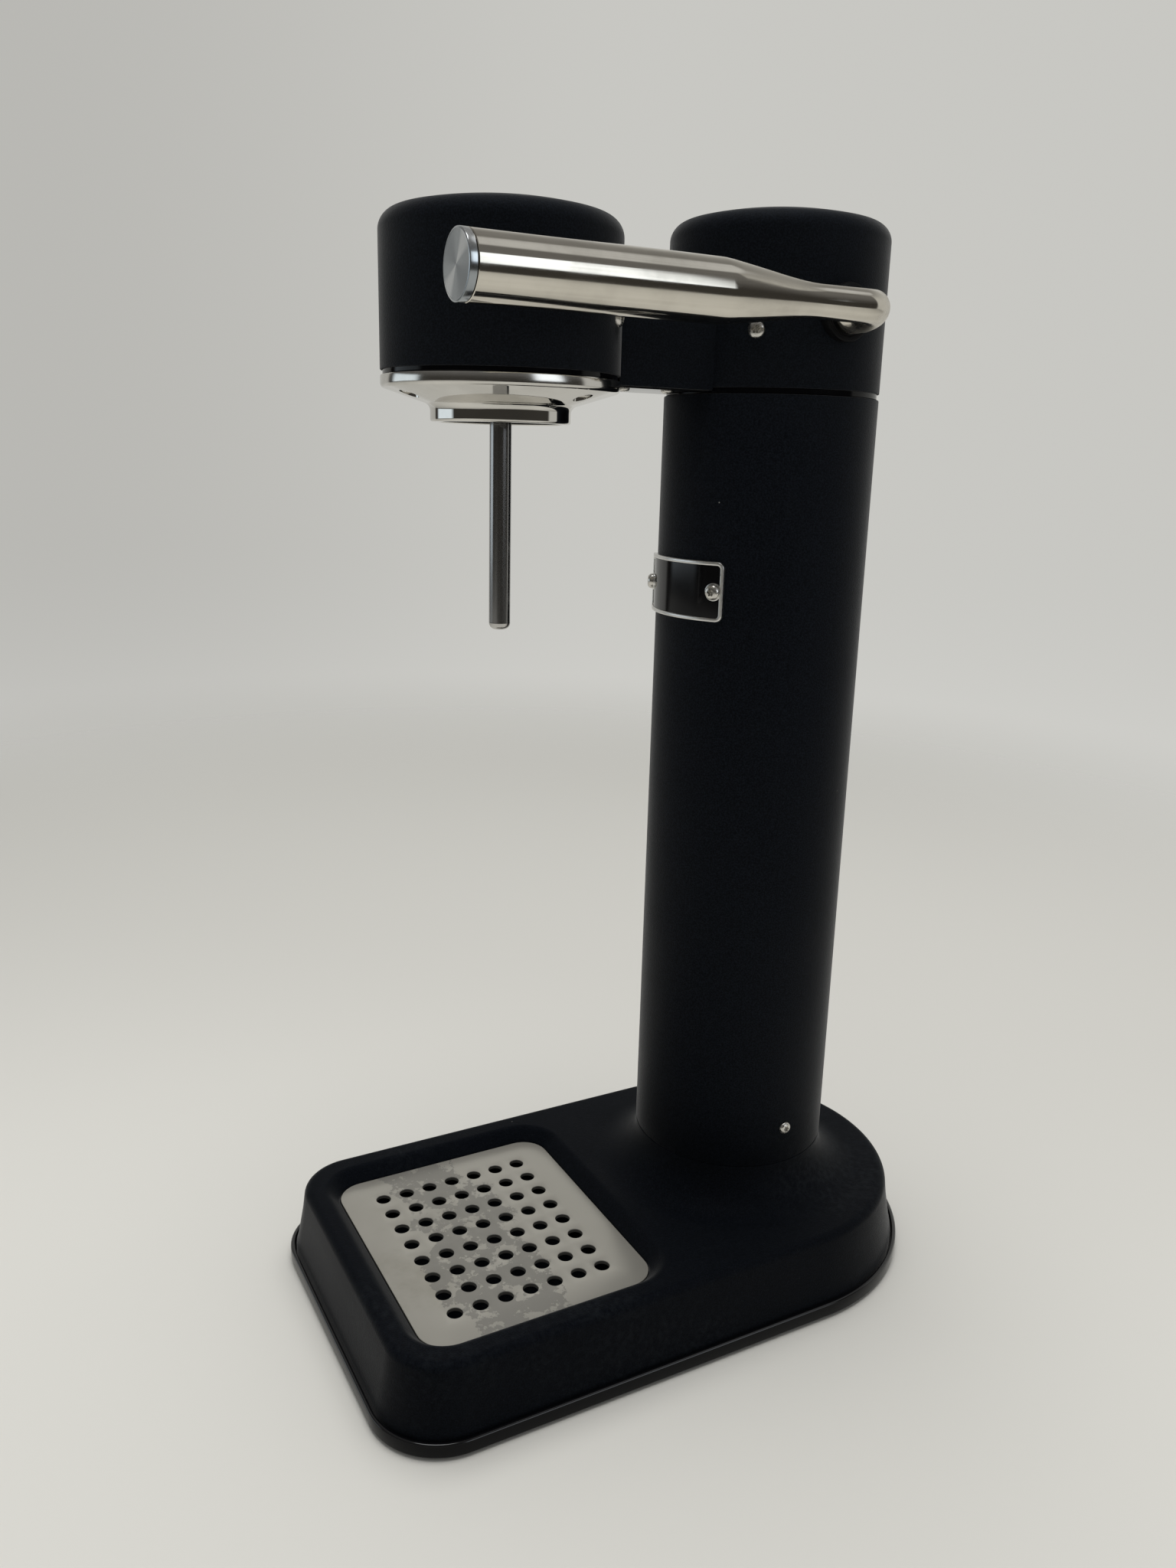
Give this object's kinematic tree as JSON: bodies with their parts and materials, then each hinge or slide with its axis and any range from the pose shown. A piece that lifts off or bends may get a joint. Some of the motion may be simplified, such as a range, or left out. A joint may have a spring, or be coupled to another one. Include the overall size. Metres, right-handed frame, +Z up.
{
  "type": "sparkling water maker",
  "caption": "Countertop sparkling water maker with a gas column, domed heads joined by a bridge, a side lever, a carbonating nozzle in a steel collar and a drip base.",
  "frame": {"origin": "middle of the base's outline, on the table under the rubber feet", "axes": "+Z up, front with the nozzle and drip plate towards -Y, lever on the +X side"},
  "size_m": [0.153, 0.258, 0.417],
  "materials": {
    "coat_black": "matte fine-textured powder coat, blue-black",
    "gloss_black": "gloss moulded",
    "polished_steel": "polished stainless steel",
    "satin_steel": "satin brushed stainless steel",
    "nozzle_steel": "polished steel tube, slightly darkened",
    "machined_steel": "turned and milled",
    "spring_steel": "drawn wire",
    "screw_steel": "stainless button-head screws",
    "valve_brass": "machined brass",
    "seal_rubber": "moulded rubber",
    "bush_plastic": "moulded plastic",
    "tube_plastic": "natural pressure tube",
    "badge_black": "gloss black enamel, left bare"
  },
  "bodies": {
    "machine": {"base_shell": "coat_black", "column_foot": "coat_black", "basin_tub": "coat_black", "column_socket": "coat_black", "column_tube": "coat_black", "rear_head_shell": "coat_black", "front_head_shell": "coat_black", "bridge_shell": "coat_black", "base_pan": "gloss_black", "chassis": "gloss_black", "bottle_collar": "polished_steel", "badge_frame": "polished_steel", "nozzle_tube": "nozzle_steel", "nozzle_tip": "nozzle_steel", "return_spring": "spring_steel", "pan_screws": "screw_steel", "column_screws": "screw_steel", "badge_screws": "screw_steel", "head_screws": "screw_steel", "bridge_screws": "screw_steel", "collar_screws": "screw_steel", "block_screws": "screw_steel", "valve_screws": "screw_steel", "nozzle_block": "valve_brass", "relief_valve": "valve_brass", "tube_fittings": "valve_brass", "valve_block": "valve_brass", "foot_pads": "seal_rubber", "bottle_seal": "seal_rubber", "cylinder_seal": "seal_rubber", "lever_bush": "bush_plastic", "inner_bush": "bush_plastic", "cylinder_guide": "bush_plastic", "gas_tube": "tube_plastic", "badge_plate": "badge_black"},
    "lever": {"lever_tube": "satin_steel", "lever_end_cap": "satin_steel", "lever_cam": "machined_steel", "cam_screw": "machined_steel", "retaining_ring": "machined_steel"},
    "plunger": {"plunger": "machined_steel"},
    "drip_plate": {"drip_plate": "satin_steel"}
  },
  "joints": [
    {"name": "lever_pivot", "type": "hinge", "parent": "machine", "child": "lever", "pos_m": [0, 0.0525, 0.38], "axis": [1, 0, 0], "range_deg": [0, 40], "stiffness_Nm_per_rad": 2, "springref_deg": -34.38},
    {"name": "plunger_slide", "type": "slide", "parent": "machine", "child": "plunger", "axis": [0, 0, -1], "range_m": [0, 0.0028], "deforming": ["return_spring"]},
    {"name": "plate_lift", "type": "slide", "parent": "machine", "child": "drip_plate", "axis": [0, 0, 1], "range_m": [0, 0.03]}
  ],
  "couplings": [
    {"joint": "plunger_slide", "follows": "lever_pivot", "m_per_rad": 0.004}
  ]
}
